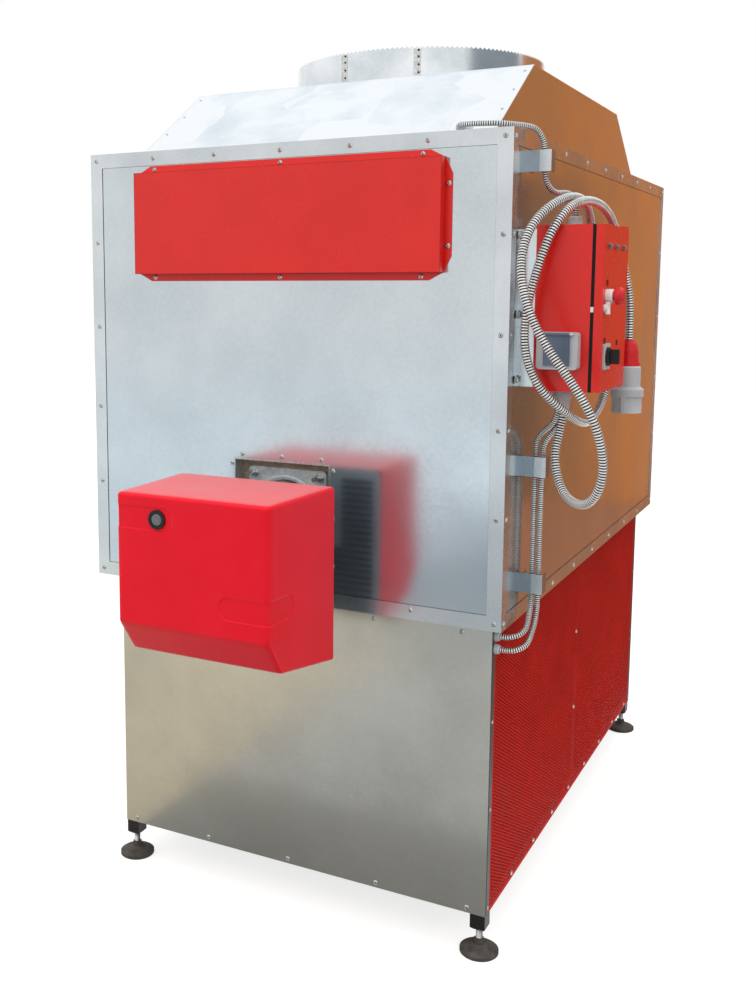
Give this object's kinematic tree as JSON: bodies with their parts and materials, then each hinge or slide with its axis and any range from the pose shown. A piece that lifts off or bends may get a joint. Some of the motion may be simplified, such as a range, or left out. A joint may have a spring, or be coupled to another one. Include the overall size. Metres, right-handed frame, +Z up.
{
  "type": "gas-fired air heater",
  "caption": "Floor-standing gas-fired warm-air heater: sheet-metal cabinet with a round top outlet, intake grilles, front burner, side control box and a coiled supply lead.",
  "frame": {"origin": "on the floor under the middle of the whole object, without its free supply lead", "axes": "+Z up, the burner at the front faces -Y, the control box is on the +X side"},
  "size_m": [1.4457, 2.401, 2.3855],
  "materials": {
    "galvanised": "bright galvanised sheet",
    "edge_trim": "folded galvanised angle",
    "black_frame": "black paint",
    "red_sheet": "red paint, satin",
    "dark_steel": "dark steel",
    "heat_steel": "heat-proof steel",
    "motor_grey": "grey paint on aluminium",
    "zinc": "zinc plated",
    "burner_iron": "cast aluminium",
    "red_plastic": "moulded, satin gloss",
    "black_plastic": "matt black",
    "grey_plastic": "light grey",
    "blue_grey_plastic": "dark blue-grey",
    "white_plastic": "white",
    "green_plastic": "green",
    "stop_red": "red",
    "lens": "milky lens",
    "seal": "black foam rubber",
    "conduit": "ribbed flexible steel conduit, zinc coated",
    "brass_pins": "bare brass"
  },
  "bodies": {
    "cabinet": {"base_posts": "black_frame", "base_rails": "black_frame", "leg_inserts": "black_plastic", "base_end_panels": "galvanised", "intake_grilles": "red_sheet", "casing_bottom_frame": "edge_trim", "casing_top_frame": "edge_trim", "casing_corner_angles": "edge_trim", "casing_front_panel": "galvanised", "casing_rear_panel": "galvanised", "casing_side_panels": "galvanised", "casing_top_deck": "galvanised", "fan_deck": "galvanised", "hood_side_sheets": "galvanised", "hood_slope_sheets": "galvanised", "hood_top_plate": "galvanised", "outlet_collar": "galvanised", "fascia_plate": "red_sheet", "burner_port_frame": "galvanised", "combustion_chamber": "heat_steel", "exchanger_tubes": "heat_steel", "turning_boxes": "heat_steel", "flue_collector": "heat_steel", "flue_spigot": "heat_steel", "fan_scroll": "galvanised", "fan_motor": "motor_grey", "burner_flange": "burner_iron", "blast_tube": "heat_steel", "flange_studs": "zinc", "gas_inlet": "burner_iron", "burner_back_plate": "black_frame", "burner_cover": "red_plastic", "reset_bezel": "black_plastic", "box_brackets": "galvanised", "box_body": "red_sheet", "socket_housing": "grey_plastic", "cable_glands": "grey_plastic", "conduit_clips": "galvanised", "sensor_conduit": "conduit", "feed_conduits": "conduit", "supply_conduit": "conduit", "plug_cap": "stop_red", "plug_body": "grey_plastic", "plug_pins": "brass_pins"},
    "door": {"box_door": "red_sheet", "door_gasket": "seal", "button_collars": "white_plastic", "switch_plate": "grey_plastic", "pilot_lamps": "lens"},
    "lock": {"door_lock": "white_plastic"},
    "stop": {"stop_button": "stop_red"},
    "start": {"start_button": "green_plastic"},
    "switch": {"switch_knob": "black_plastic"},
    "lid": {"socket_lid": "blue_grey_plastic"},
    "reset": {"reset_button": "lens"},
    "fan": {"fan_wheel": "galvanised"},
    "front_left_foot": {"foot_front_left": "dark_steel"},
    "front_right_foot": {"foot_front_right": "dark_steel"},
    "rear_left_foot": {"foot_rear_left": "dark_steel"},
    "rear_right_foot": {"foot_rear_right": "dark_steel"}
  },
  "joints": [
    {"name": "door_hinge", "type": "hinge", "parent": "cabinet", "child": "door", "pos_m": [0.66785, -0.4315, 1.6535], "axis": [0, 0, 1], "range_deg": [0, 100]},
    {"name": "lock_turn", "type": "hinge", "parent": "door", "child": "lock", "pos_m": [0.67735, -0.6725, 1.655], "axis": [1, 0, 0], "range_deg": [0, 90]},
    {"name": "stop_press", "type": "slide", "parent": "door", "child": "stop", "axis": [-1, 0, 0], "range_m": [0, 0.005], "stiffness_N_per_m": 600},
    {"name": "start_press", "type": "slide", "parent": "door", "child": "start", "axis": [-1, 0, 0], "range_m": [0, 0.003], "stiffness_N_per_m": 600},
    {"name": "switch_turn", "type": "hinge", "parent": "door", "child": "switch", "pos_m": [0.67735, -0.6425, 1.543], "axis": [1, 0, 0], "range_deg": [0, 90]},
    {"name": "lid_hinge", "type": "hinge", "parent": "cabinet", "child": "lid", "pos_m": [0.58385, -0.728, 1.595], "axis": [-1, 0, 0], "range_deg": [0, 95], "stiffness_Nm_per_rad": 0.03},
    {"name": "reset_press", "type": "slide", "parent": "cabinet", "child": "reset", "axis": [0, 1, 0], "range_m": [0, 0.004], "stiffness_N_per_m": 600},
    {"name": "fan_spin", "type": "hinge", "parent": "cabinet", "child": "fan", "pos_m": [-0.11865, 0.1705, 0.43], "axis": [1, 0, 0], "continuous": true},
    {"name": "front_left_foot_turn", "type": "hinge", "parent": "cabinet", "child": "front_left_foot", "pos_m": [-0.65715, -0.678, 0.05], "axis": [0, 0, 1], "continuous": true},
    {"name": "front_right_foot_turn", "type": "hinge", "parent": "cabinet", "child": "front_right_foot", "pos_m": [0.41985, -0.678, 0.05], "axis": [0, 0, 1], "continuous": true},
    {"name": "rear_left_foot_turn", "type": "hinge", "parent": "cabinet", "child": "rear_left_foot", "pos_m": [-0.65715, 1.019, 0.05], "axis": [0, 0, 1], "continuous": true},
    {"name": "rear_right_foot_turn", "type": "hinge", "parent": "cabinet", "child": "rear_right_foot", "pos_m": [0.41985, 1.019, 0.05], "axis": [0, 0, 1], "continuous": true}
  ]
}
